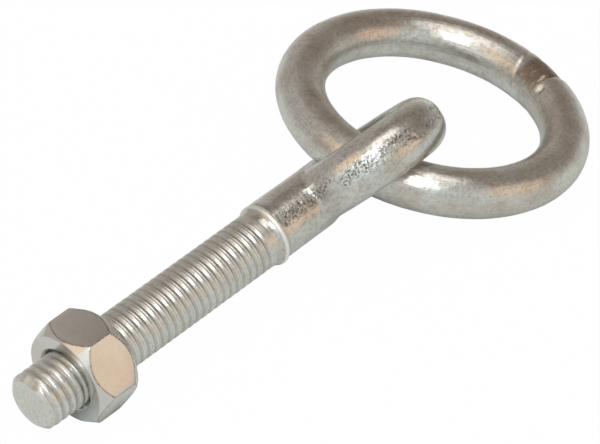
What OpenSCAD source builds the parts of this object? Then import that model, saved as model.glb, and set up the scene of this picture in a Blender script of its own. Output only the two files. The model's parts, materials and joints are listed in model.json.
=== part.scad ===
// Bolt-on tie-down ring: a forged eye bolt with a threaded shank, a hexagon nut on the thread,
// and a welded round ring that hangs in the eye. Millimetres, +Z up, lying on the ground at z = 0.
// The bolt points along +X from its nose to its eye, and leans on the nut, the eye and the ring.

/* [Thread] */
// Outside diameter of the thread
thread_d = 8; // [6:0.5:10]
// Distance from one thread crest to the next
pitch = 1.25; // [1:0.05:1.75]
// Length of the shank, from its nose to the shoulder
shank_l = 41; // [30:1:70]
// Smooth band between the last thread and the shoulder
runout_l = 1.2; // [0.8:0.1:4]
// Chamfer on the nose
nose_chamfer = 0.65; // [0.3:0.05:0.9]

/* [Body] */
// How far the forged body stands out past the thread all round
shoulder_step = 0.25; // [0.1:0.05:1]
// Length of the cone that opens from the thread to the body
shoulder_l = 1.5; // [0.8:0.1:3]
// How far the cone's rim stands out past the body
shoulder_rim = 0.1; // [0.05:0.05:0.3]
// Distance from the shoulder to the centre of the eye
body_reach = 20.85; // [19:0.05:40]

/* [Eye] */
// Thickness of the eye's bar, measured in the plane of the eye
eye_wall = 7; // [6:0.1:9]
// Thickness of the eye's bar, measured across the plane of the eye
eye_thick = 7.8; // [7:0.1:9]
// Play of the ring's wire in the eye's hole
eye_play = 4.4; // [4:0.1:7]
// Radius of the fillet where the body opens into the eye
neck_r = 5; // [3:0.5:6]

/* [Ring] */
// Diameter of the ring's wire
ring_wire = 7; // [5:0.5:8]
// Inside diameter of the ring
ring_id = 31; // [28:0.5:50]
// How far the butt weld stands out past the wire
weld_h = 0.15; // [0.05:0.05:0.3]
// Length of the butt weld along the wire
weld_l = 3.2; // [1:0.1:6]
// Where the weld lies round the ring, counted from the eye
weld_at = 163; // [60:1:300]

/* [Nut] */
// Width of the nut across its flats
nut_af = 13; // [12:0.5:17]
// Height of the nut
nut_h = 6.8; // [5:0.1:10]
// Diameter of the flat face inside the nut's chamfer
nut_face_d = 12.4; // [11.5:0.1:12.9]
// Distance from the nose to the nut
nut_at = 6; // [2:0.25:12]
// Gap between the thread's crests and the nut's bore
nut_gap = 0.05; // [0.03:0.01:0.1]
// Depth of the countersink at each end of the nut's bore
nut_sink = 0.7; // [0.3:0.1:1]

/* [Lie] */
// How far the plane of the eye leans over from upright
eye_lean = 44.8; // [30:0.1:50]
// How far the ring is rolled against the eye
ring_roll = -34.4; // [-36:0.1:-20]

/* [Hidden] */
$fn = 96;

// How far a cutting shape runs past what it cuts, and how far two shapes overlap where they join
past = 1;
hair = 0.01;

// Thread form: sixty degree flanks between narrow flat crests
thread_r = thread_d / 2;
crest_w = pitch / 8;
thread_depth = 0.6134 * pitch;
flank_w = thread_depth * tan(30);
root_r = thread_r - thread_depth;
first_crest = nose_chamfer + crest_w / 2;
last_crest = shank_l - runout_l - crest_w / 2 - flank_w;
crest_count = floor((last_crest - first_crest) / pitch) + 1;

// Body and eye, along the bolt from its nose
body_r = thread_r + shoulder_step;
rim_r = body_r + shoulder_rim;
rim_x = shank_l + 0.8 * shoulder_l;
eye_x = shank_l + body_reach;
bar_r = eye_wall / 2;
bar_flat = eye_thick - eye_wall;
hole_r = (ring_wire + eye_play) / 2;
eye_r = hole_r + bar_r;
eye_outer = hole_r + eye_wall;

// The neck opens to a share of the eye's radius, and its end lies inside the eye's bar
neck_share = 0.49;
neck_flat_share = 0.76;
fillet_share = 0.95;
neck_bury = 0.6;
neck_push = 0.4;
neck_rise = min(eye_outer * neck_share - body_r, neck_r * fillet_share);
neck_top = body_r + neck_rise;
neck_l = sqrt(pow(neck_r, 2) - pow(neck_r - neck_rise, 2));
neck_end = eye_x - sqrt(pow(eye_outer - neck_bury, 2) - pow(neck_top, 2)) + neck_push;
neck_x = neck_end - neck_l;
neck_thick = eye_thick * neck_flat_share;

// Ring
wire_r = ring_wire / 2;
ring_r = ring_id / 2 + wire_r;
weld_arc = weld_l / ring_r * 180 / PI;

// Nut
nut_r = nut_af / 2;
nut_corner = nut_af / sqrt(3);
nut_face_r = nut_face_d / 2;
nut_bore_r = thread_r + nut_gap;
nut_toe = nut_r - nut_face_r;

// How the bolt lies: its axis rises until the nut's lower flat and the eye both touch the ground
foot_x = nut_at + nut_toe;
function eye_drop(rise) =
    eye_r * sqrt(1 - pow(sin(eye_lean) * cos(rise), 2))
    + bar_flat / 2 * sin(eye_lean) * cos(rise) + bar_r;
function rise_from(rise) = asin((eye_drop(rise) - nut_r * cos(rise)) / (eye_x - foot_x));
axis_rise = rise_from(rise_from(rise_from(0)));
nose_z = nut_r * cos(axis_rise) - foot_x * sin(axis_rise);

// A direction in the bolt's own frame, turned into the part's frame
function lean_over(v) = [
    v[0],
    v[1] * cos(eye_lean) - v[2] * sin(eye_lean),
    v[1] * sin(eye_lean) + v[2] * cos(eye_lean)
];
function lift_up(v) = [
    v[0] * cos(axis_rise) - v[2] * sin(axis_rise),
    v[1],
    v[0] * sin(axis_rise) + v[2] * cos(axis_rise)
];
function bolt_dir(v) = lift_up(lean_over(v));

// How the ring lies: it falls in the eye until its far side touches the ground
function ring_out(fall) = bolt_dir([cos(fall), 0, -sin(fall)]);
function ring_up(fall) = bolt_dir([
    sin(fall) * cos(ring_roll),
    -sin(ring_roll),
    cos(fall) * cos(ring_roll)
]);
function half_size(up, k) = ring_r * sqrt(1 - pow(up[k], 2)) + wire_r;
function ring_foot(fall) =
    nose_z + eye_x * sin(axis_rise) + ring_r * ring_out(fall)[2] - half_size(ring_up(fall), 2);
least_fall = -20;
most_fall = 60;
halvings = 30;
function settle(low, high, left) =
    let (mid = (low + high) / 2)
    left == 0 ? mid
    : ring_foot(mid) > 0 ? settle(mid, high, left - 1)
    : settle(low, mid, left - 1);
ring_fall = settle(least_fall, most_fall, halvings);

// The origin lies on the ground under the middle of the whole part
ring_mid = [
    eye_x * cos(axis_rise) + ring_r * ring_out(ring_fall)[0],
    ring_r * ring_out(ring_fall)[1]
];
far_x = ring_mid[0] + half_size(ring_up(ring_fall), 0);
near_x = -(thread_r - nose_chamfer) * sin(axis_rise);
mid_x = (far_x + near_x) / 2;
mid_y = ring_mid[1];

// Stands its children, drawn along +X from the nose, where the bolt lies
module lay_bolt() {
    translate([-mid_x, -mid_y, nose_z])
        rotate([0, -axis_rise, 0])
            children();
}

// Outline of the threaded shank, shoulder and body, radius against length
module shank_outline() {
    crests = [
        for (k = [0:crest_count - 1])
            let (x = first_crest + k * pitch)
            each [
                if (k > 0) [root_r, x - crest_w / 2 - flank_w],
                [thread_r, x - crest_w / 2],
                [thread_r, x + crest_w / 2],
                [root_r, x + crest_w / 2 + flank_w]
            ]
    ];
    polygon(concat(
        [[0, 0], [thread_r - nose_chamfer, 0]],
        crests,
        [
            [root_r, shank_l - runout_l],
            [thread_r, shank_l - runout_l + thread_depth],
            [thread_r, shank_l],
            [rim_r, rim_x],
            [body_r, shank_l + shoulder_l],
            [body_r, eye_x - eye_r],
            [0, eye_x - eye_r]
        ]
    ));
}

// Section of the eye's bar: round edges with a short flat between them
module bar_section() {
    for (side = [-1, 1])
        translate([0, side * bar_flat / 2])
            circle(r = bar_r);
    square([eye_wall, bar_flat], center = true);
}

// The neck that opens from the body into the eye, with a hollow fillet
module neck() {
    intersection() {
        rotate([0, 90, 0])
            rotate_extrude()
                difference() {
                    translate([0, neck_x])
                        square([neck_top, neck_l]);
                    translate([body_r + neck_r, neck_x])
                        circle(r = neck_r);
                }
        translate([neck_x - past, -neck_thick / 2, -eye_outer])
            cube([neck_l + 2 * past, neck_thick, 2 * eye_outer]);
    }
}

// Forged in one piece: threaded shank, shoulder, body and eye
module eye_bolt() {
    color([0.68, 0.69, 0.66])
        lay_bolt()
            rotate([eye_lean, 0, 0])
                union() {
                    rotate([0, 90, 0])
                        rotate_extrude()
                            shank_outline();
                    neck();
                    translate([eye_x, 0, 0])
                        rotate([90, 0, 0])
                            rotate_extrude()
                                translate([eye_r, 0])
                                    bar_section();
                }
}

// Bent from round bar and butt welded into one closed ring
module tie_ring() {
    color([0.64, 0.63, 0.60])
        lay_bolt()
            rotate([eye_lean, 0, 0])
                translate([eye_x, 0, 0])
                    rotate([0, ring_fall, 0])
                        rotate([ring_roll, 0, 0])
                            translate([ring_r, 0, 0])
                                union() {
                                    rotate_extrude()
                                        translate([ring_r, 0])
                                            circle(r = wire_r);
                                    rotate([0, 0, 180 + weld_at - weld_arc / 2])
                                        rotate_extrude(angle = weld_arc)
                                            translate([ring_r, 0])
                                                circle(r = wire_r + weld_h);
                                }
}

// Outline of the nut's turned body: a chamfer at each end that cuts the corners back
module nut_outline() {
    reach = nut_corner + past;
    polygon([
        [0, 0],
        [nut_face_r, 0],
        [reach, reach - nut_face_r],
        [reach, nut_h - reach + nut_face_r],
        [nut_face_r, nut_h],
        [0, nut_h]
    ]);
}

// Hexagon nut, on the thread with one flat to the ground
module hex_nut() {
    color([0.72, 0.68, 0.62])
        lay_bolt()
            translate([nut_at, 0, 0])
                rotate([0, 90, 0])
                    difference() {
                        intersection() {
                            rotate([0, 0, 90])
                                cylinder(r = nut_corner, h = nut_h, $fn = 6);
                            rotate_extrude()
                                nut_outline();
                        }
                        translate([0, 0, -past])
                            cylinder(r = nut_bore_r, h = nut_h + 2 * past);
                        translate([0, 0, -hair])
                            cylinder(r1 = nut_bore_r + nut_sink, r2 = nut_bore_r, h = nut_sink);
                        translate([0, 0, nut_h - nut_sink + hair])
                            cylinder(r1 = nut_bore_r, r2 = nut_bore_r + nut_sink, h = nut_sink);
                    }
}

eye_bolt();
tie_ring();
hex_nut();
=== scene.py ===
# %% [markdown]
# # A bolt-on tie-down ring in zinc-plated steel
# The object is a forged eye bolt with a threaded shank, a hexagon nut on the thread and a welded
# round ring that swings in the eye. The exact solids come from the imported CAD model, and this
# lesson puts the real surfaces around them: a helical thread, a forging with its uneven skin, a
# drawn bar with its butt weld, and a zinc coat over all of it.
# The frame is loaded first. Everything that follows is placed by it and never moves it.

# %% Load the frame
import json
import math

import bmesh
import bpy
from mathutils import Matrix, Vector, noise


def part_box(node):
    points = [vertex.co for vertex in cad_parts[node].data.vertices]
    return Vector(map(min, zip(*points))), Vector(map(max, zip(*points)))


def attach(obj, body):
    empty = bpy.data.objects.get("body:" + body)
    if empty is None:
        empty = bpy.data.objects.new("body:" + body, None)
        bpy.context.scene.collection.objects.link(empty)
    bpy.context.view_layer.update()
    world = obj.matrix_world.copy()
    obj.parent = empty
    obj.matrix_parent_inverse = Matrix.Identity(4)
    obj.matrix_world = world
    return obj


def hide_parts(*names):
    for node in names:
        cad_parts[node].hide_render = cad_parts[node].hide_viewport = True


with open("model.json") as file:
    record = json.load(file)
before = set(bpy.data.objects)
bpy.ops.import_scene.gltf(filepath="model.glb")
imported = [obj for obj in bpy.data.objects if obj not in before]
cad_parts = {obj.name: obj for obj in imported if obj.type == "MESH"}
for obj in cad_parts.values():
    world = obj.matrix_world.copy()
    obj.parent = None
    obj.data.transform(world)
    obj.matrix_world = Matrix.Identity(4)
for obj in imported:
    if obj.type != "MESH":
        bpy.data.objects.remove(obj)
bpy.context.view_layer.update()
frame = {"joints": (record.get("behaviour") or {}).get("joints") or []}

MM = 0.001


def in_mm(lengths):
    """Lengths in metres as rounded millimetres, for printing."""
    return [round(length / MM, 2) for length in lengths]


# %% [markdown]
# Two joints in the frame place the whole bolt: the hinge that the ring swings on gives the middle
# of the eye and the axis of its hole, and the slide that the nut travels on gives the bolt's own
# axis. Shapes are modelled in millimetres in the bolt's own frame, with the nose at zero and the
# shank along X, because that is how a turner would draw them. One matrix then lays each of them
# where the CAD part lies.

# %% Find the bolt's own frame
EYE_X = 61.85
joints = {joint["name"]: joint for joint in frame["joints"]}
eye_centre = Vector(joints["ring_swing"]["pos_m"])
along_bolt = Vector(joints["nut_travel"]["axis"]).normalized()
hole_axis = Vector(joints["ring_swing"]["axis"]).normalized()
eye_up = along_bolt.cross(hole_axis)
level_side = Vector((0, 1, 0))


def lay_matrix(origin, x_axis, y_axis, z_axis):
    """A matrix that carries millimetres in a piece's own frame to metres in the part's frame."""
    turn = Matrix((x_axis, y_axis, z_axis)).transposed().to_4x4()
    return Matrix.Translation(origin) @ turn @ Matrix.Scale(MM, 4)


nose = eye_centre - along_bolt * EYE_X * MM
lay_forging = lay_matrix(nose, along_bolt, hole_axis, eye_up)
lay_nut = lay_matrix(nose, along_bolt, level_side, along_bolt.cross(level_side))
print("nose at mm:", in_mm(nose))

# %% [markdown]
# The camera comes early, so that each piece can be judged as it is made. It stands about half a
# metre away and 37 degrees above the ground, and looks over the nut towards the ring. A long lens
# keeps the near nut from swelling.

# %% Camera
CAMERA_TURN = -45.91
CAMERA_RISE = 36.91
CAMERA_ROLL = -1.00
CAMERA_AWAY = 0.45305
LENS = 199.67
SENSOR_W = 36
NEAREST = 0.02
FURTHEST = 20
look_at = Vector((0.00250, 0.00051, 0.00284))


def direction(turn_deg, rise_deg):
    """The unit vector from the object towards a lamp or camera at that turn and rise."""
    turn = math.radians(turn_deg)
    rise = math.radians(rise_deg)
    level = math.cos(rise)
    return Vector((math.sin(turn) * level, -math.cos(turn) * level, math.sin(rise)))


camera = bpy.data.objects.new("camera", bpy.data.cameras.new("camera"))
bpy.context.scene.collection.objects.link(camera)
towards_camera = direction(CAMERA_TURN, CAMERA_RISE)
camera.location = look_at + towards_camera * CAMERA_AWAY
aim = (-towards_camera).to_track_quat("-Z", "Y").to_matrix()
camera.rotation_euler = (aim @ Matrix.Rotation(math.radians(CAMERA_ROLL), 3, "Z")).to_euler()
camera.data.lens = LENS
camera.data.sensor_width = SENSOR_W
camera.data.clip_start = NEAREST
camera.data.clip_end = FURTHEST
bpy.context.scene.camera = camera
print("camera at mm:", in_mm(camera.location))

# %% [markdown]
# Every piece below is made in a bmesh and turned into an object in the same few steps. The first
# helper keeps them in one place: it lays the mesh where the piece belongs, recalculates the
# normals and leaves the object itself at the origin. Modifiers are used only as tools, so the
# second helper replaces a piece's mesh by what its modifiers made of it.

# %% Turn a bmesh into a piece
def to_object(bm, name, matrix, smooth=True):
    """A new object from a bmesh in millimetres, laid by the matrix, with outward normals."""
    bmesh.ops.transform(bm, matrix=matrix, verts=bm.verts)
    bmesh.ops.recalc_face_normals(bm, faces=bm.faces)
    mesh = bpy.data.meshes.new(name)
    bm.to_mesh(mesh)
    bm.free()
    if smooth:
        mesh.shade_smooth()
    else:
        mesh.shade_flat()
    piece = bpy.data.objects.new(name, mesh)
    bpy.context.scene.collection.objects.link(piece)
    return piece


def apply_modifiers(piece):
    """Replaces a piece's mesh by its own evaluated mesh and drops its modifiers."""
    graph = bpy.context.evaluated_depsgraph_get()
    made = bpy.data.meshes.new_from_object(piece.evaluated_get(graph))
    piece.modifiers.clear()
    piece.data = made
    return piece


# %% [markdown]
# Most of this object is round, so most of it is spun: an outline goes once round an axis, as in a
# lathe or a bending machine. A full spin ends on its own start, where the doubled vertices are
# merged, so that the skin has no seam.

# %% Spin an outline
FULL_TURN = 2 * math.pi
MERGE = 0.0005


def profile_line(bm, points):
    """A chain of vertices and edges through (x, radius) points, standing up from the X axis."""
    verts = [bm.verts.new((x, 0, r)) for x, r in points]
    edges = [bm.edges.new(pair) for pair in zip(verts, verts[1:])]
    return verts + edges


def full_spin(bm, outline, centre, axis, steps):
    """Spins an outline once round an axis and closes the seam."""
    bmesh.ops.spin(
        bm, geom=outline, cent=centre, axis=axis, dvec=(0, 0, 0),
        angle=FULL_TURN, steps=steps, use_merge=True, use_duplicate=False,
    )
    bmesh.ops.remove_doubles(bm, verts=bm.verts, dist=MERGE)


def turn_on_lathe(bm, points, steps):
    """A body of revolution about the X axis, from an outline that closes on the axis or on itself."""
    full_spin(bm, profile_line(bm, points), (0, 0, 0), (1, 0, 0), steps)


print("a full turn in radians:", round(FULL_TURN, 4))

# %% [markdown]
# ## The thread
# The thread is rolled, not cut: two dies press the grooves in, and the steel that they push up
# meets on the crest in a fine seam. Zinc then fills the grooves, so they look shallow. Half of the
# crest is written down and mirrored, with the seam in its middle and the root half a pitch away.

# %% One turn of the thread
THREAD_R = 4.0
PITCH = 1.25
THREAD_DEPTH = 0.17
ROOT_HALF = 0.085
SEAM_DEPTH = 0.035
SEAM_HALF = 0.05
HALF_CREST = ((0.14, 0.0), (0.28, 0.012), (0.39, 0.06))


def one_pitch():
    """One turn of the thread as (shift along the axis, radius), from the crest's back to the root."""
    back = [(-shift, drop) for shift, drop in reversed(HALF_CREST)]
    seam = [(shift, SEAM_DEPTH) for shift in (-SEAM_HALF, SEAM_HALF)]
    root = [(PITCH / 2 + shift, THREAD_DEPTH) for shift in (-ROOT_HALF, ROOT_HALF)]
    return [(shift, THREAD_R - drop) for shift, drop in (*back, *seam, *HALF_CREST, *root)]


print("points in a pitch:", len(one_pitch()))

# %% [markdown]
# A thread is one profile that goes round and forward together. Blender's spin does exactly that
# when it is given a step along the axis: the line of crests and roots is turned once about the
# shank while it advances by one pitch, so its end meets its own next turn and the seam closes.
# That gives a true helix in one step, where a boolean for each turn would be slow and would leave
# slivers. Two planes then cut the helix to length.

# %% Spin the thread
SHANK_L = 41.0
SHANK_END = SHANK_L + 0.6
THREAD_STEPS = 80
SPARE_TURNS = 2
ON_PLANE = 0.0001


def spin_thread():
    """The thread as a skin that is open at the nose and inside the body."""
    bm = bmesh.new()
    turns = range(-SPARE_TURNS, int(SHANK_END / PITCH) + 2 * SPARE_TURNS)
    points = [(k * PITCH + shift, r) for k in turns for shift, r in one_pitch()]
    bmesh.ops.spin(
        bm, geom=profile_line(bm, points), cent=(0, 0, 0), axis=(1, 0, 0),
        dvec=(PITCH / THREAD_STEPS, 0, 0), angle=FULL_TURN, steps=THREAD_STEPS,
        use_merge=False, use_duplicate=False,
    )
    bmesh.ops.remove_doubles(bm, verts=bm.verts, dist=2 * MERGE)
    for cut, outward in ((0.0, (-1, 0, 0)), (SHANK_END, (1, 0, 0))):
        everything = bm.verts[:] + bm.edges[:] + bm.faces[:]
        bmesh.ops.bisect_plane(
            bm, geom=everything, dist=ON_PLANE, plane_co=(cut, 0, 0), plane_no=outward,
            clear_outer=True, clear_inner=False,
        )
    return bm


thread_bm = spin_thread()
print("thread faces:", len(thread_bm.faces))

# %% [markdown]
# A real thread has a start and an end. At the nose the grooves are deeper and the crests plain, a
# chamfer leads the nut on, and a notch in it shows where the groove begins. At the shoulder the
# grooves run out into the bare bar. All of it is a matter of radius, so each vertex is moved
# straight in or out.

# %% Start and end of the thread
RUNOUT_R = THREAD_R - 0.01
RUNOUT_FROM = SHANK_L - 1.6
RUNOUT_TO = SHANK_L - 0.75
PLAIN_TO = 7
ROLLED_FROM = 9
NOSE_DEEPER = 0.6
NOSE_R = 3.35
NOSE_INSET = 0.35
NOTCH_TURN = 50.0
NOTCH_DEPTH = 0.38
NOTCH_HALF = 6
NOTCH_FADE = 26
SEAM_NEAR = 0.005


def smooth_step(low, high, x):
    """0 below low, 1 above high and a smooth rise in between."""
    t = min(1.0, max(0.0, (x - low) / (high - low)))
    return t * t * (3 - 2 * t)


def trimmed_radius(co):
    """The radius of the thread's skin at a point, with the nose and the run-out taken into account."""
    drop = THREAD_R - math.hypot(co.y, co.z)
    at_nose = 1 - smooth_step(PLAIN_TO, ROLLED_FROM, co.x)
    if abs(drop - SEAM_DEPTH) < SEAM_NEAR:
        drop *= 1 - at_nose
    else:
        drop *= 1 + NOSE_DEEPER * at_nose
    threaded = THREAD_R - drop
    threaded += (RUNOUT_R - threaded) * smooth_step(RUNOUT_FROM, RUNOUT_TO, co.x)
    off_notch = abs(math.degrees(math.atan2(co.z, co.y)) - NOTCH_TURN)
    notch = NOTCH_DEPTH * (1 - smooth_step(NOTCH_HALF, NOTCH_FADE, off_notch))
    return min(threaded, NOSE_R - notch + co.x)


for v in thread_bm.verts:
    share = trimmed_radius(v.co) / math.hypot(v.co.y, v.co.z)
    v.co.y *= share
    v.co.z *= share
rims = [e for e in thread_bm.edges if e.is_boundary]
caps = bmesh.ops.holes_fill(thread_bm, edges=rims, sides=0)["faces"]
nose_cap = [f for f in caps if f.calc_center_median().x < SHANK_L / 2]
bmesh.ops.inset_region(
    thread_bm, faces=nose_cap, thickness=NOSE_INSET, depth=0.0, use_even_offset=True,
)
print("thread faces with its ends:", len(thread_bm.faces), "caps:", len(caps))
shank = to_object(thread_bm, "shank", lay_forging)

# %% [markdown]
# ## The forging
# Body and eye are squeezed from one hot bar, so they flow into each other with no seam. They are
# started as three plain shapes: a turned body, a round bar spun into the eye, and a box for the
# web between them. A voxel remesh melts them into one skin. Modelling the blend by hand would take
# many careful loops for the same result.

# %% Body, eye and web
BODY_R = 4.32
BODY_SWELL = 0.04
BODY_FROM = SHANK_L + 1.2
HOLE_R = 5.7
BAR_R = 3.5
BAR_FLAT = 0.8
BAR_SIDES = 48
EYE_R = HOLE_R + BAR_R
EYE_STEPS = 144
BODY_STEPS = 96
# Place along the bolt, half width and half height of the web's two ends
WEB_NEAR = (49.4, 2.1, 4.02)
WEB_FAR = (51.3, 2.3, 5.35)


def body_profile():
    """The turned body as (x, radius), from inside the shoulder to the middle of the eye's bar."""
    return [
        (BODY_FROM, 0.0),
        (BODY_FROM, BODY_R - 0.05),
        (SHANK_L + 1.8, BODY_R + BODY_SWELL),
        (SHANK_L + 3.0, BODY_R + BODY_SWELL),
        (SHANK_L + 5.5, BODY_R),
        (EYE_X - EYE_R, BODY_R),
        (EYE_X - EYE_R, 0.0),
    ]


def spin_eye(bm):
    """The eye's bar, round with a short flat each side, spun about the hole's axis."""
    circle = bmesh.ops.create_circle(bm, cap_ends=False, radius=BAR_R, segments=BAR_SIDES)["verts"]
    edges = [e for e in bm.edges if e.verts[0] in circle]
    for v in circle:
        side = math.copysign(BAR_FLAT / 2, v.co.y) if abs(v.co.y) > MERGE else 0.0
        v.co = Vector((EYE_X + EYE_R + v.co.x, v.co.y + side, 0.0))
    full_spin(bm, circle + edges, (EYE_X, 0, 0), (0, 1, 0), EYE_STEPS)


def add_web(bm):
    """The web that opens from the body into the eye, as a box whose far end is larger."""
    for v in bmesh.ops.create_cube(bm, size=1.0)["verts"]:
        x, half_width, half_height = WEB_FAR if v.co.x > 0 else WEB_NEAR
        v.co = (x, math.copysign(half_width, v.co.y), math.copysign(half_height, v.co.z))


forging_bm = bmesh.new()
turn_on_lathe(forging_bm, body_profile(), BODY_STEPS)
spin_eye(forging_bm)
add_web(forging_bm)
print("vertices before the melt:", len(forging_bm.verts))

# %% [markdown]
# The two dies never met exactly, so the whole forging stands a little to one side of the shank.
# The remesh needs a size of voxel: small enough to keep the bar round, and large enough to leave
# under a hundred thousand faces.

# %% Melt them into one skin
DIE_SHIFT = 0.15
VOXEL = 0.18
bmesh.ops.translate(forging_bm, verts=forging_bm.verts, vec=(0, DIE_SHIFT, 0))
forging = to_object(forging_bm, "forging", Matrix.Identity(4))
remesh = forging.modifiers.new("melt", "REMESH")
remesh.mode = "VOXEL"
remesh.voxel_size = VOXEL
remesh.adaptivity = 0.0
apply_modifiers(forging)
print("forging faces:", len(forging.data.polygons))

# %% [markdown]
# The skin of a forging is never true. Scale from the fire leaves shallow pits, most of them along
# the parting line where the dies met, and the bar keeps soft hollows where it was struck. The
# functions below say how strong the pits are at a point, and how far the skin stands out there.
# Only the finest grain is left to the material.

# %% How the forged skin stands
# Each kind of lump: how many to a millimetre, how high, and a shift that picks other lumps
HOLLOWS = (0.22, 0.04)
DENTS = (0.8, 0.012, (7, 3, 1))
PITS = (2.4, 0.11, (2, 9, 4))
PATCHES = (0.35, 1.0, (5, 2, 8))
WANDER = (0.5, 0.35)
SHOULDER_L = 1.9
PARTING_AT = 0.45
PARTING_FADE = (0.5, 1.5)
PARTING_START = (SHANK_L + SHOULDER_L, SHANK_L + SHOULDER_L + 0.7)
PATCH_EDGE = (-0.35, 0.1)
EYE_STARTS = 51
EYE_OUTSIDE = (-1.0, 0.5)


def lumps(co, per_mm, height, shift=(0, 0, 0)):
    """Soft noise at a point, up to about a height above and below 0."""
    return height * noise.noise(co * per_mm + Vector(shift))


def parting(co):
    """1 along the outer line where the forging dies met, falling to 0 a millimetre or so away."""
    on_line = 1 - smooth_step(*PARTING_FADE, abs(co.y - PARTING_AT - lumps(co, *WANDER)))
    past_shoulder = smooth_step(*PARTING_START, co.x)
    past_bar = math.hypot(co.x - EYE_X, co.z) - EYE_R
    outside = smooth_step(*EYE_OUTSIDE, past_bar) if co.x > EYE_STARTS else 1.0
    patchy = smooth_step(*PATCH_EDGE, lumps(co, *PATCHES))
    return on_line * past_shoulder * outside * patchy


def skin_move(co):
    """How far the forged skin stands out at a point, in millimetres."""
    pit = max(0.0, lumps(co, *PITS)) * parting(co)
    return lumps(co, *HOLLOWS) + lumps(co, *DENTS) - pit


print("skin on top of the body in mm:", round(skin_move(Vector((SHANK_L + 4, 0, BODY_R))), 3))

# %% [markdown]
# The remeshed skin still shows the hard corner between body and eye. A few passes of smoothing
# round it as the die does, and one pass over the rest takes the voxels' steps away. Then each
# vertex moves along its normal. The skin is sunk by about as much as its highest bump, so that it
# stays inside the solid that it stands for.

# %% Round the corner and move the skin
CORNER_FROM = 48.8
CORNER_TO = 54.5
CORNER_PASSES = 7
FORGED_FROM = SHANK_L + 1.6
SKIN_SINK = 0.04


def smooth_passes(bm, verts, passes):
    """Draws each vertex halfway to its neighbours, several times over."""
    for _ in range(passes):
        bmesh.ops.smooth_vert(
            bm, verts=verts, factor=0.5, use_axis_x=True, use_axis_y=True, use_axis_z=True,
        )


skin = bmesh.new()
skin.from_mesh(forging.data)
smooth_passes(skin, [v for v in skin.verts if CORNER_FROM < v.co.x < CORNER_TO], CORNER_PASSES)
smooth_passes(skin, [v for v in skin.verts if v.co.x > FORGED_FROM], 1)
skin.normal_update()
moves = [(v, v.normal * (skin_move(v.co) - SKIN_SINK)) for v in skin.verts]
for v, move in moves:
    v.co += move
print("largest skin move in mm:", round(max(move.length for _, move in moves), 3))
bpy.data.objects.remove(forging)
forging = to_object(skin, "forging", lay_forging)

# %% [markdown]
# The shoulder is turned, like the body, and opens like a cone from the thread to a thin rolled
# lip. Shank, shoulder and forging are one piece of steel, so they are joined with a boolean union.
# All three are closed skins, and the union leaves the crisp step behind the lip that a soft blend
# would lose.

# %% One eye bolt
SHOULDER_STEPS = 144
SHOULDER_BURY = 0.5
SHARP_TURN = math.radians(40)
# Past the end of the shank, and out from the thread's crests
SHOULDER_SKIN = (
    (-0.05, -0.01), (0.1, 0.01), (0.45, 0.05), (0.6, 0.09), (1.05, 0.24), (1.15, 0.37),
    (1.3, 0.46), (1.48, 0.49), (1.64, 0.46), (1.78, 0.36), (1.86, 0.2),
)


def shoulder_profile():
    """The shoulder as (x, radius), closed on the axis inside the shank and inside the body."""
    outside = [(SHANK_L + shift, THREAD_R + step) for shift, step in SHOULDER_SKIN]
    start = SHANK_L - SHOULDER_BURY
    return [(start, 0.0), (start, THREAD_R - 0.2), *outside, (SHANK_L + SHOULDER_L, 0.0)]


shoulder_bm = bmesh.new()
turn_on_lathe(shoulder_bm, shoulder_profile(), SHOULDER_STEPS)
shoulder = to_object(shoulder_bm, "shoulder", lay_forging)
for joined in (shoulder, shank):
    union = forging.modifiers.new("join", "BOOLEAN")
    union.operation = "UNION"
    union.solver = "MANIFOLD"
    union.object = joined
eye_bolt = apply_modifiers(forging)
eye_bolt.name = "eye_bolt_forged"
eye_bolt.data.set_sharp_from_angle(angle=SHARP_TURN)
for joined in (shoulder, shank):
    bpy.data.objects.remove(joined)
print("eye bolt faces:", len(eye_bolt.data.polygons))

# %% [markdown]
# Wear doesn't cover a bolt evenly. The lip and the end of the nose are rubbed to a pale satin, the
# rolled thread a little less, and the lip's pale band also stands for its highlight, painted in.
# Painted shade darkens the grooves and the corner behind the lip. Each mark is worked out from where
# a point lies and kept in the mesh as an attribute, one number for each vertex, because the
# material can't know by itself what a lip or a groove is.

# %% Marks on the eye bolt
LIP_HEIGHT = (0.2, 0.36)
# Where a zone starts to rise, is full, starts to fall and ends
LIP_ZONE = (0.7, 1.1, 1.75, 1.95)
SHADED_CORNER_ZONE = (1.8, 1.9, 1.95, 2.4)
SHADED_GROOVE_ZONE = (0.7, 1.2, SHANK_L - 0.3, SHANK_L)
GROOVE_SHADE_FADE = (0.0, 0.06)
END_RUBBED = 0.65
END_FADE = 0.3
THREAD_RUBBED = 0.55
THREAD_FADE = 0.5


def window(x, rise_from, full_from, full_to, fall_to):
    """1 between the two middle places and 0 outside the outer two, with smooth slopes."""
    return smooth_step(rise_from, full_from, x) * (1 - smooth_step(full_to, fall_to, x))


def rubbing_and_lip_sheen(co):
    """1 on the shoulder's lip, partly as a painted highlight, and less on the nose's end and the
    thread.
    """
    past_shank = co.x - SHANK_L
    past_thread = math.hypot(co.y, co.z) - THREAD_R
    # On the lip the pale colour is partly a painted highlight, besides rubbed metal.
    lip = smooth_step(*LIP_HEIGHT, past_thread) * window(past_shank, *LIP_ZONE)
    end = END_RUBBED * (1 - smooth_step(0, END_FADE, co.x))
    thread = THREAD_RUBBED * (1 - smooth_step(-THREAD_FADE, 0, past_shank))
    return max(lip, end, thread)


def painted_groove_shade(co):
    """1 in the thread's grooves and in the corner behind the shoulder's lip, for painted shade."""
    below_crest = THREAD_R - math.hypot(co.y, co.z)
    # Painted shade: the grooves and the corner behind the lip are marked for a darker colour.
    groove = smooth_step(*GROOVE_SHADE_FADE, below_crest) * window(co.x, *SHADED_GROOVE_ZONE)
    return max(groove, window(co.x - SHANK_L, *SHADED_CORNER_ZONE))


def mark_points(piece, name, values):
    """Keeps one number for each vertex of a piece, for its material to read."""
    piece.data.attributes.new(name, "FLOAT", "POINT").data.foreach_set("value", values)


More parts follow.
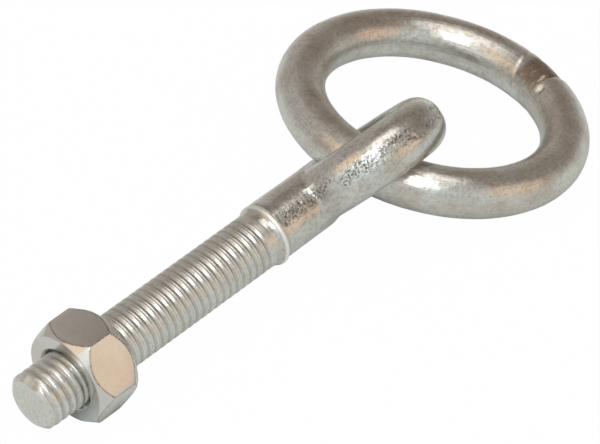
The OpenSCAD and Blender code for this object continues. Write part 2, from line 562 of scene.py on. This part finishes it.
to_bolt = lay_forging.inverted()
bolt_points = [to_bolt @ v.co for v in eye_bolt.data.vertices]
for name, strength in (("blemish", parting), ("rubbed_and_lip_sheen", rubbing_and_lip_sheen), ("painted_groove_shade", painted_groove_shade)):
    mark_points(eye_bolt, name, [strength(co) for co in bolt_points])
    print("marked on the eye bolt:", name)

# %% [markdown]
# ## The ring
# The ring hangs loose, so its lie isn't written down but read from the frame: the middle of its
# CAD box shows how far it has fallen in the eye. Its roll against the eye is the one angle that
# the box can't give.

# %% Where the ring lies
RING_R = 19.0
RING_ROLL = math.radians(-34.4)
box_low, box_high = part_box("tie_ring")
reach = (box_low + box_high) / 2 - eye_centre
fall = math.atan2(-reach.dot(eye_up), reach.dot(along_bolt))
ring_out = along_bolt * math.cos(fall) - eye_up * math.sin(fall)
flat_up = along_bolt * math.sin(fall) + eye_up * math.cos(fall)
ring_up = flat_up * math.cos(RING_ROLL) - hole_axis * math.sin(RING_ROLL)
ring_centre = eye_centre + ring_out * RING_R * MM
lay_ring = lay_matrix(ring_centre, -ring_out, ring_up.cross(-ring_out), ring_up)
print("ring falls by degrees:", round(math.degrees(fall), 2))

# %% [markdown]
# The ring is a straight bar bent round and butt welded. The weld is a short stretch where the ends
# were pressed together and trimmed: a lumpy, slightly flattened patch between a groove and an open
# slit, with a pit beside the slit. Places on the ring are given by three measures: the turn round
# the ring and the turn round the bar's section, both in degrees, and the distance along the bar
# from the weld in millimetres.

# %% The weld
WIRE_R = 3.5
WELD_AT = 157.0
WELD_FADE = (2.0, 3.0)
WELD_LUMPS = (0.9, 0.12)
WELD_GRIT = (2.2, 0.08)
TRIM_DEPTH = 0.2
# Middle and half width of a mark round the bar's section
TRIM_SIDE = (30, 40)
WELD_GROOVE = dict(middle=2.9, half=0.2, depth=0.14)
GROOVE_SKEW = 0.018
GROOVE_LEVEL = 125
WELD_SLIT = dict(middle=-2.0, half=0.2, depth=0.34)
SLIT_WANDER = (0.8, 0.3)
SLIT_SIDE = (70, 95, 145, 165)
SLIT_ALL_ROUND = 0.25
WELD_PIT = dict(middle=-3.6, half=0.5, depth=0.5)
WELD_PIT_SIDE = (134, 12)


def ring_place(co):
    """The turn round the ring and round the bar, 0 outside and 90 on top, both in degrees."""
    turn = math.degrees(math.atan2(co.y, co.x)) % 360
    out = math.hypot(co.x, co.y) - RING_R
    return turn, math.degrees(math.atan2(co.z, out))


def bell(x, middle, half):
    """1 at the middle, falling off on both sides as a bell does."""
    return math.exp(-((x - middle) / half) ** 2)


def dip(along, middle, half, depth):
    """A groove across the bar, as a move of its skin in millimetres."""
    return -depth * bell(along, middle, half)


def weld_change(turn, section, co):
    """How far the weld moves the bar's skin, in millimetres."""
    along = math.radians(turn - WELD_AT) * RING_R
    patch = 1 - smooth_step(*WELD_FADE, abs(along))
    rough = lumps(co, *WELD_LUMPS) + lumps(co, *WELD_GRIT)
    trim = -TRIM_DEPTH * bell(section, *TRIM_SIDE)
    groove = dip(along + (section - GROOVE_LEVEL) * GROOVE_SKEW, **WELD_GROOVE)
    slit = dip(along + lumps(co, *SLIT_WANDER), **WELD_SLIT)
    slit *= SLIT_ALL_ROUND + (1 - SLIT_ALL_ROUND) * window(section, *SLIT_SIDE)
    pit = dip(along, **WELD_PIT) * bell(section, *WELD_PIT_SIDE)
    return patch * (rough + trim) + groove + slit + pit


print("weld at mm along the ring:", round(math.radians(WELD_AT) * RING_R, 1))

# %% [markdown]
# A torus is the circle of the bar's section, stood up and spun about the ring's axis. It gets
# enough steps for the weld's thin lines, and then its skin is moved as the forging's was: soft
# hollows all over, and the weld's own shape in its place.

# %% Bend and weld the ring
BAR_STEPS = 56
RING_STEPS = 400
RING_HOLLOWS = (0.2, 0.03)
RING_DENTS = (0.9, 0.012)
RING_SINK = 0.035


def bent_bar():
    """The ring as a closed bmesh in its own frame: the eye is at -X and the ring's axis is Z."""
    bm = bmesh.new()
    bmesh.ops.create_circle(bm, cap_ends=False, radius=WIRE_R, segments=BAR_STEPS)
    stand_up = Matrix.Rotation(math.pi / 2, 3, "X")
    bmesh.ops.rotate(bm, verts=bm.verts, cent=(0, 0, 0), matrix=stand_up)
    bmesh.ops.translate(bm, verts=bm.verts, vec=(RING_R, 0, 0))
    full_spin(bm, bm.verts[:] + bm.edges[:], (0, 0, 0), (0, 0, 1), RING_STEPS)
    bmesh.ops.recalc_face_normals(bm, faces=bm.faces)
    bm.normal_update()
    return bm


ring_bm = bent_bar()
for v in ring_bm.verts:
    soft = lumps(v.co, *RING_HOLLOWS) + lumps(v.co, *RING_DENTS)
    v.co += v.normal * (soft - RING_SINK + weld_change(*ring_place(v.co), v.co))
tie_ring = to_object(ring_bm, "tie_ring_welded", lay_ring)
print("ring faces:", len(tie_ring.data.polygons))

# %% [markdown]
# The bar was drawn through a die before it was bent, which leaves fine scratches along it. A
# pattern on plain coordinates would run straight through the ring, so each vertex keeps its place
# on the straight bar as an attribute: across, up and along. The mark for the weld's burnt side is
# made in the same pass.

# %% Marks on the ring
BURNT_SIDE = (15, 50, 138, 165)
BURNT_FADE = (5.5, 8.0)


def bar_place(turn, section):
    """Where a point of the ring lay on the straight bar, in millimetres."""
    angle = math.radians(section)
    along = math.radians((turn - WELD_AT) % 360) * RING_R
    return WIRE_R * math.cos(angle), WIRE_R * math.sin(angle), along


def burning(turn, section):
    """1 on the upper side of the weld, where the heat has burnt the coat's ground brown."""
    return window(section, *BURNT_SIDE) * (1 - smooth_step(*BURNT_FADE, abs(turn - WELD_AT)))


to_ring = lay_ring.inverted()
ring_places = [ring_place(to_ring @ v.co) for v in tie_ring.data.vertices]
bar_places = [number for place in ring_places for number in bar_place(*place)]
tie_ring.data.attributes.new("bar", "FLOAT_VECTOR", "POINT").data.foreach_set("vector", bar_places)
mark_points(tie_ring, "blemish", [burning(*place) for place in ring_places])
print("length of the bar in mm:", round(max(bar_places[2::3]), 1))

# %% [markdown]
# ## The nut
# The nut starts as a plain piece of hexagonal bar. A cone of six sides whose two ends are alike is
# just that. It is laid along the bolt and then turned until one of its flats faces straight down,
# because that is the flat it rests on.

# %% Hexagonal bar
NUT_AF = 13.0
NUT_CORNER = NUT_AF / math.sqrt(3)
NUT_H = 6.8
NUT_AT = 6.0


def hexagon():
    """A hexagonal bar along X with a flat to the ground."""
    bm = bmesh.new()
    bmesh.ops.create_cone(
        bm, cap_ends=True, cap_tris=False, segments=6, radius1=NUT_CORNER, radius2=NUT_CORNER,
        depth=NUT_H,
    )
    lie_down = Matrix.Rotation(math.pi / 2, 3, "Y")
    bmesh.ops.rotate(bm, verts=bm.verts, cent=(0, 0, 0), matrix=lie_down)
    top = max(bm.faces, key=lambda face: face.normal.z).normal
    level = Matrix.Rotation(math.atan2(top.y, top.z), 3, "X")
    bmesh.ops.rotate(bm, verts=bm.verts, cent=(0, 0, 0), matrix=level)
    bmesh.ops.translate(bm, verts=bm.verts, vec=(NUT_AT + NUT_H / 2, 0, 0))
    return bm


hex_nut = to_object(hexagon(), "hex_nut_zinc", lay_nut, smooth=False)
print("corners of the hexagonal bar:", len(hex_nut.data.vertices))

# %% [markdown]
# The corners of a pressed nut are turned back by a cone at both ends, which leaves the round arcs
# on its flats. The arcs are true only if the cone really cuts the hexagon, so a boolean
# intersection with a turned blank makes them. The blank brings the bore and its countersinks
# along, with the rims rolled over in its outline.

# %% Turn the nut's corners back
NUT_FACE_R = 6.3
NUT_SLOPE = 1.4
NUT_BORE_R = 4.06
NUT_SINK = 0.5
RIM_SOFT = 0.06
CLEAR_R = NUT_CORNER + 1
BLANK_STEPS = 120


def nut_blank():
    """The turned blank with its bore: chamfers outside, countersinks inside, rims rolled over."""
    bm = bmesh.new()
    near_half = [
        (NUT_SINK, NUT_BORE_R),
        (RIM_SOFT, NUT_BORE_R + NUT_SINK - RIM_SOFT),
        (0, NUT_BORE_R + NUT_SINK + RIM_SOFT),
        (0, NUT_FACE_R - RIM_SOFT),
        (RIM_SOFT, NUT_FACE_R + RIM_SOFT / 2),
        ((CLEAR_R - NUT_FACE_R) * NUT_SLOPE, CLEAR_R),
    ]
    far_half = [(NUT_H - x, r) for x, r in reversed(near_half)]
    outline = near_half + far_half + near_half[:1]
    turn_on_lathe(bm, [(NUT_AT + x, r) for x, r in outline], BLANK_STEPS)
    return bm


blank = to_object(nut_blank(), "nut_blank", lay_nut, smooth=False)
cut = hex_nut.modifiers.new("turn_back", "BOOLEAN")
cut.operation = "INTERSECT"
cut.solver = "MANIFOLD"
cut.object = blank
apply_modifiers(hex_nut)
bpy.data.objects.remove(blank)
print("nut faces:", len(hex_nut.data.polygons))

# %% [markdown]
# The edges of the six flats are still as sharp as knives. The boolean has cut the flats into
# strips, which are joined again first, so that a bevel can run along the whole edge. The bevel's
# own faces are marked, and the material draws them darker and rougher. The rims of the faces and
# the bore were rolled over in the blank's outline, where a bevel would crowd the short edges.

# %% Soften the nut's edges
EDGE_SOFT = 0.12 * MM
NUT_MERGE = 0.002 * MM
FLAT_AWAY = 5.5 * MM
FLAT_LEAN = 0.02
STRIP_TURN = math.radians(1)
EDGE_TURN = math.radians(15)
SHADE_TURN = math.radians(14)
nut_bm = bmesh.new()
nut_bm.from_mesh(hex_nut.data)
blemish = nut_bm.faces.layers.float.new("blemish")
bmesh.ops.remove_doubles(nut_bm, verts=nut_bm.verts, dist=NUT_MERGE)
nut_bm.normal_update()


def is_flat(face):
    """True for the six flats of the hexagon, which are wide and stand square to the bolt."""
    away = face.calc_center_median() - nose
    off_axis = (away - along_bolt * away.dot(along_bolt)).length
    return abs(face.normal.dot(along_bolt)) < FLAT_LEAN and off_axis > FLAT_AWAY


def divides_flat(edge):
    """True for an edge that only divides one flat into strips."""
    inside = all(is_flat(face) for face in edge.link_faces)
    return inside and edge.is_manifold and edge.calc_face_angle() < STRIP_TURN


def bounds_flat(edge):
    """True for an edge where a flat meets another flat or a chamfer."""
    beside = any(is_flat(face) for face in edge.link_faces)
    return beside and edge.is_manifold and edge.calc_face_angle() > EDGE_TURN


dividing = [e for e in nut_bm.edges if divides_flat(e)]
bmesh.ops.dissolve_edges(nut_bm, edges=dividing, use_verts=True, use_face_split=False)
bounding = [e for e in nut_bm.edges if bounds_flat(e)]
softened = bmesh.ops.bevel(
    nut_bm, geom=bounding, offset=EDGE_SOFT, offset_type="OFFSET", segments=2, profile=0.5,
    affect="EDGES", material=-1, clamp_overlap=True,
)
for face in softened["faces"]:
    face[blemish] = 1.0
bmesh.ops.recalc_face_normals(nut_bm, faces=nut_bm.faces)
nut_bm.to_mesh(hex_nut.data)
nut_bm.free()
hex_nut.data.shade_smooth()
hex_nut.data.set_sharp_from_angle(angle=SHADE_TURN)
print("nut faces after softening:", len(hex_nut.data.polygons))

# %% [markdown]
# ## Zinc
# A shader is a drawing of nodes and links. The helpers here and in the next cell each add one kind
# of node to a tree and give back its output, so that a finish can be read as a sum. The first two
# are about colour: one feeds whatever it is given to a socket, and one lays a colour over another.

# %% Colours in a shader
def feed(tree, socket, value):
    """Gives a socket another node's output, a colour or a number."""
    if isinstance(value, bpy.types.NodeSocket):
        tree.links.new(value, socket)
    elif isinstance(value, tuple):
        socket.default_value = (*value, 1)
    else:
        socket.default_value = value


def tinted(tree, base, other, share, kind="MIX"):
    """The base colour with another colour laid over it by a share."""
    node = tree.nodes.new("ShaderNodeMix")
    node.data_type = "RGBA"
    node.blend_type = kind
    feed(tree, node.inputs["A"], base)
    feed(tree, node.inputs["B"], other)
    feed(tree, node.inputs["Factor"], share)
    return node.outputs["Result"]


print("materials before the finishes:", len(bpy.data.materials))

# %% [markdown]
# The others are about numbers: noise for all that is uneven, a ramp that stretches a part of the
# noise to the range that is wanted, a sum of two values, and the marks that the meshes keep.

# %% Numbers in a shader
PER_MM = 1 / MM


def ramp(tree, value, low, high, first=0.0, last=1.0):
    """A value that goes from first to last while the given one goes from low to high."""
    node = tree.nodes.new("ShaderNodeMapRange")
    ends = (("From Min", low), ("From Max", high), ("To Min", first), ("To Max", last))
    for name, end in ends:
        node.inputs[name].default_value = end
    feed(tree, node.inputs["Value"], value)
    return node.outputs["Result"]


def calc(tree, kind, first, second):
    """A sum, difference or product of two values."""
    node = tree.nodes.new("ShaderNodeMath")
    node.operation = kind
    feed(tree, node.inputs[0], first)
    feed(tree, node.inputs[1], second)
    return node.outputs["Value"]


def noise_at(tree, where, scale, detail, rough=0.55):
    """Soft noise between 0 and 1 in the space of the given coordinates."""
    node = tree.nodes.new("ShaderNodeTexNoise")
    node.inputs["Scale"].default_value = scale
    node.inputs["Detail"].default_value = detail
    node.inputs["Roughness"].default_value = rough
    tree.links.new(where, node.inputs["Vector"])
    return node.outputs["Fac"]


def mark(tree, name, output="Fac"):
    """What the mesh keeps under an attribute's name."""
    node = tree.nodes.new("ShaderNodeAttribute")
    node.attribute_name = name
    return node.outputs[output]


print("scale of noise with one lump to a millimetre:", PER_MM)

# %% [markdown]
# A coat is a colour, a height and a roughness, and each layer of it changes these three. Pits are
# small, dark and deep, and only where the mesh has its blemish mark: along the parting line of the
# forging, on the weld and on the nut's edges. There the coat may also be burnt or darkened all
# over. Scratches are noise that is stretched along the bar. Rubbed metal is paler and rougher, and
# the pale lip is also a painted highlight. Painted shade darkens the grooves and behind the lip.

# %% Layers of a coat
SCRATCH_STRETCH = (4.0, 4.0, 0.10)
SCRATCH_COLOUR = (0.44, 0.40, 0.36)
RUBBED_AND_SHEEN_COLOUR = (0.93, 0.96, 0.94)
RUBBED_ROUGHER = 0.26
PAINTED_SHADE_COLOUR = (0.34, 0.32, 0.29)
PAINTED_SHADE_SHARE = 0.42
PIT_SHARE = 0.85
BLEMISH_ROUGHER = 0.06


def add_pits(tree, place, coat, depth, colour, burnt):
    """Dark pits where the blemish mark is, and a burnt tint of the same colour over them."""
    marked = mark(tree, "blemish")
    spots = noise_at(tree, place, scale=2.9 * PER_MM, detail=3, rough=0.6)
    holes = ramp(tree, spots, low=0.43, high=0.51, first=1.0, last=0.0)
    holes = calc(tree, "MULTIPLY", holes, marked)
    coat["height"] = calc(tree, "SUBTRACT", coat["height"], calc(tree, "MULTIPLY", holes, depth))
    for share in (calc(tree, "MULTIPLY", holes, PIT_SHARE), calc(tree, "MULTIPLY", marked, burnt)):
        coat["colour"] = tinted(tree, coat["colour"], colour, share)
    rougher = calc(tree, "MULTIPLY", marked, BLEMISH_ROUGHER)
    coat["rough"] = calc(tree, "ADD", coat["rough"], rougher)


def add_scratches(tree, coat, depth):
    """Fine scratches along the bar, from the place that each point had on it."""
    stretch = tree.nodes.new("ShaderNodeMapping")
    stretch.inputs["Scale"].default_value = SCRATCH_STRETCH
    tree.links.new(mark(tree, "bar", "Vector"), stretch.inputs["Vector"])
    drawn = noise_at(tree, stretch.outputs["Vector"], scale=1.0, detail=4, rough=0.7)
    coat["height"] = calc(tree, "ADD", coat["height"], calc(tree, "MULTIPLY", drawn, depth))
    share = ramp(tree, drawn, low=0.54, high=0.68, last=0.5)
    coat["colour"] = tinted(tree, coat["colour"], SCRATCH_COLOUR, share)


def add_wear_and_painted_light(tree, coat, paler):
    """Rubbed metal, a painted lip highlight and painted groove shade, where the mesh has marks."""
    rubbed_and_sheen = mark(tree, "rubbed_and_lip_sheen")
    # A paler colour: a painted highlight on the lip, and rubbed metal on the nose's end and thread.
    share = calc(tree, "MULTIPLY", calc(tree, "MULTIPLY", rubbed_and_sheen, rubbed_and_sheen), paler)
    coat["colour"] = tinted(tree, coat["colour"], RUBBED_AND_SHEEN_COLOUR, share)
    rougher = calc(tree, "MULTIPLY", rubbed_and_sheen, RUBBED_ROUGHER)
    coat["rough"] = calc(tree, "ADD", coat["rough"], rougher)
    # Painted shade: a darker colour in the grooves and in the corner behind the lip.
    share = calc(tree, "MULTIPLY", mark(tree, "painted_groove_shade"), PAINTED_SHADE_SHARE)
    coat["colour"] = tinted(tree, coat["colour"], PAINTED_SHADE_COLOUR, share)


# %% [markdown]
# Electroplated zinc is a thin bright metal coat. It reads as metal because its colour is in its
# reflections, so the shader is fully metallic and the tint is its base colour. Fresh zinc is a
# cool grey with a green cast, and it goes brown-grey where the plating is thin. Large soft noise
# mixes the two, fine noise mottles them, a third noise varies the gloss, and a bump gives the
# grain of the steel below.

# %% A zinc material
def zinc(name, cool, warm, gloss, grain_mm, grain_depth, mottle, pits, scratches=0.0, wear_and_painted_light=0.0):
    """A plated steel material. gloss is the mean roughness, and the depths are in millimetres."""
    mat = bpy.data.materials.new(name)
    mat.use_nodes = True
    tree = mat.node_tree
    place = tree.nodes.new("ShaderNodeTexCoord").outputs["Object"]
    large = noise_at(tree, place, scale=0.16 * PER_MM, detail=3)
    thin = ramp(tree, large, low=0.38, high=0.64)
    small = noise_at(tree, place, scale=1.8 * PER_MM, detail=5, rough=0.75)
    fine = ramp(tree, small, low=0.36, high=0.54, first=1.0 - mottle)
    grain = noise_at(tree, place, scale=PER_MM / grain_mm, detail=3, rough=0.6)
    sheen = noise_at(tree, place, scale=0.5 * PER_MM, detail=4)
    coat = {
        "colour": tinted(tree, tinted(tree, cool, warm, thin), fine, 1.0, "MULTIPLY"),
        "height": calc(tree, "MULTIPLY", grain, grain_depth),
        "rough": ramp(tree, sheen, low=0.3, high=0.7, first=gloss - 0.05, last=gloss + 0.08),
    }
    add_pits(tree, place, coat, *pits)
    if scratches:
        add_scratches(tree, coat, scratches)
    if wear_and_painted_light:
        add_wear_and_painted_light(tree, coat, wear_and_painted_light)
    bump = tree.nodes.new("ShaderNodeBump")
    bump.inputs["Strength"].default_value = 1.0
    bump.inputs["Distance"].default_value = MM
    tree.links.new(coat["height"], bump.inputs["Height"])
    shader = tree.nodes["Principled BSDF"]
    shader.inputs["Metallic"].default_value = 1.0
    tree.links.new(coat["colour"], shader.inputs["Base Color"])
    tree.links.new(coat["rough"], shader.inputs["Roughness"])
    tree.links.new(bump.outputs["Normal"], shader.inputs["Normal"])
    return mat


# %% [markdown]
# The three pieces were plated in one bath, but over different steel. The forging is rough and
# pitted, the drawn bar is browner and scratched, with its weld burnt, and the nut's flats are
# smooth. The pits are given as their depth, their colour and how far the marked places are burnt.

# %% Three zinc finishes
forged_zinc = zinc(
    "zinc_on_forging", (0.71, 0.73, 0.715), (0.60, 0.58, 0.545), gloss=0.20, grain_mm=0.45,
    grain_depth=0.03, mottle=0.30, pits=(0.03, (0.12, 0.112, 0.10), 0.0), wear_and_painted_light=0.8,
)
ring_zinc = zinc(
    "zinc_on_ring", (0.71, 0.73, 0.71), (0.58, 0.535, 0.49), gloss=0.20, grain_mm=0.8,
    grain_depth=0.02, mottle=0.24, pits=(0.006, (0.28, 0.21, 0.165), 0.85), scratches=0.045,
)
nut_zinc = zinc(
    "zinc_on_nut", (0.73, 0.74, 0.73), (0.69, 0.67, 0.64), gloss=0.18, grain_mm=2.0,
    grain_depth=0.01, mottle=0.05, pits=(0.001, (0.30, 0.28, 0.26), 0.5),
)
print("materials:", [mat.name for mat in (forged_zinc, ring_zinc, nut_zinc)])

# %% [markdown]
# Each new piece now takes its finish, stands for its CAD solid and rides on that solid's body, so
# the ring swings and the nut travels as the joints say.

# %% Dress the frame
for piece, node, body, slot, mat in (
    (eye_bolt, "eye_bolt", "bolt", "forged_zinc", forged_zinc),
    (tie_ring, "tie_ring", "ring", "ring_zinc", ring_zinc),
    (hex_nut, "hex_nut", "nut", "nut_zinc", nut_zinc),
):
    piece.data.materials.clear()
    piece.data.materials.append(mat)
    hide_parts(node)
    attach(piece, body)
    print(piece.name, "stands for", node)

# %% [markdown]
# ## Studio
# Metal shows its surroundings, so the room is half of the finish. It is a warm grey world with
# large soft areas in it: a pale wall and a bright window on the camera's side, darkness behind on
# the right, and two beige walls, one of which colours the flat of the nut that looks right. Each
# area is a cone of directions that fades at its rim. Only reflections and soft light see this
# room. The camera itself sees plain white.

# %% Room
ROOM = (0.50, 0.455, 0.415)
# Turn and rise of an area's middle in degrees, cosines of its full and outer reach, and colour
ROOM_AREAS = (
    (-45, 5, 0.87, 0.25, (0.72, 0.74, 0.71)),
    (-70, 40, 0.97, 0.86, (1.05, 1.08, 1.05)),
    (90, 50, 0.90, 0.60, (0.32, 0.275, 0.235)),
    (26, 18, 0.975, 0.90, (0.99, 0.78, 0.60)),
    (-105, 50, 0.98, 0.91, (1.10, 0.86, 0.64)),
)
world = bpy.data.worlds.new("room")
bpy.context.scene.world = world
world.use_nodes = True
room = world.node_tree
room.nodes.clear()


def area_share(looking, turn, rise, full_cos, outer_cos):
    """1 in the directions close to a turn and rise, and 0 further away."""
    dot = room.nodes.new("ShaderNodeVectorMath")
    dot.operation = "DOT_PRODUCT"
    dot.inputs[1].default_value = direction(turn, rise)
    room.links.new(looking, dot.inputs[0])
    share = ramp(room, dot.outputs["Value"], outer_cos, full_cos)
    share.node.interpolation_type = "SMOOTHSTEP"
    return share


looking = room.nodes.new("ShaderNodeTexCoord").outputs["Generated"]
room_colour = ROOM
for *where, colour in ROOM_AREAS:
    room_colour = tinted(room, room_colour, colour, area_share(looking, *where))
print("room areas:", len(ROOM_AREAS))

# %% [markdown]
# The photographer's paper was white, and the room around it wasn't. Light Path tells a ray that
# comes straight from the camera from all other rays, so one switch gives both: white to the
# camera, and the room to the metal.

# %% The room and the white behind the object
glow = room.nodes.new("ShaderNodeBackground")
room.links.new(room_colour, glow.inputs["Color"])
white = room.nodes.new("ShaderNodeBackground")
white.inputs["Color"].default_value = (1, 1, 1, 1)


def camera_ray(tree):
    """1 for the camera's own rays and 0 for light and reflections."""
    return tree.nodes.new("ShaderNodeLightPath").outputs["Is Camera Ray"]


def pick_shader(tree, share, first, second):
    """The second shader by a share, and the first one by the rest."""
    pick = tree.nodes.new("ShaderNodeMixShader")
    for socket, value in zip(pick.inputs, (share, first, second)):
        tree.links.new(value, socket)
    return pick.outputs["Shader"]


seen = pick_shader(room, camera_ray(room), glow.outputs["Background"], white.outputs["Background"])
room_out = room.nodes.new("ShaderNodeOutputWorld")
room.links.new(seen, room_out.inputs["Surface"])
print("room nodes:", len(room.nodes))

# %% [markdown]
# The floor is a round card of a cool pale grey, which lights the underside of the metal. To the
# camera it is almost wholly white by itself, so that the background needs no more light on the
# object. Only a trace of the card's own shading is left, and with it a trace of the shadow.

# %% Floor
FLOOR_SIDES = 96
FLOOR_COLOUR = (0.80, 0.84, 0.85, 1)
WHITE_SHARE = 0.985


def white_card():
    """A diffuse card that the camera sees as white."""
    mat = bpy.data.materials.new("white_card")
    mat.use_nodes = True
    tree = mat.node_tree
    tree.nodes.clear()
    card = tree.nodes.new("ShaderNodeBsdfDiffuse")
    card.inputs["Color"].default_value = FLOOR_COLOUR
    lit = tree.nodes.new("ShaderNodeEmission")
    lit.inputs["Color"].default_value = (1, 1, 1, 1)
    share = calc(tree, "MULTIPLY", camera_ray(tree), WHITE_SHARE)
    out = tree.nodes.new("ShaderNodeOutputMaterial")
    seen = pick_shader(tree, share, card.outputs["BSDF"], lit.outputs["Emission"])
    tree.links.new(seen, out.inputs["Surface"])
    return mat


def make_floor(radius):
    """A round card on the ground, with its radius in metres."""
    bm = bmesh.new()
    bmesh.ops.create_circle(bm, cap_ends=True, radius=radius / MM, segments=FLOOR_SIDES)
    floor = to_object(bm, "floor", Matrix.Scale(MM, 4))
    floor.data.materials.append(white_card())
    return floor


make_floor(2.0)
print("floor sides:", FLOOR_SIDES)

# %% [markdown]
# Two round soft lamps stand over the scene. The smaller one is close above the camera and gives
# the narrow white highlights along the bars. The larger one hangs almost overhead, a little warm,
# and fills the upper sides.

# %% Lamps
def soft_lamp(name, turn, rise, away, size, watts, colour):
    """A round area lamp that faces the object, with its distance and size in metres."""
    lamp = bpy.data.lights.new(name, "AREA")
    lamp.shape = "DISK"
    lamp.size = size
    lamp.energy = watts
    lamp.color = colour
    obj = bpy.data.objects.new(name, lamp)
    bpy.context.scene.collection.objects.link(obj)
    obj.location = direction(turn, rise) * away
    obj.rotation_euler = (-direction(turn, rise)).to_track_quat("-Z", "Y").to_euler()
    return obj


window_lamp = soft_lamp("window", -36, 56, away=1.0, size=0.38, watts=2.1, colour=(0.95, 1.0, 1.0))
fill_lamp = soft_lamp("fill", 40, 80, away=1.2, size=0.9, watts=2.6, colour=(1.0, 0.97, 0.93))
bpy.context.scene.view_settings.view_transform = "Standard"
print("lamps:", [lamp.name for lamp in (window_lamp, fill_lamp)])
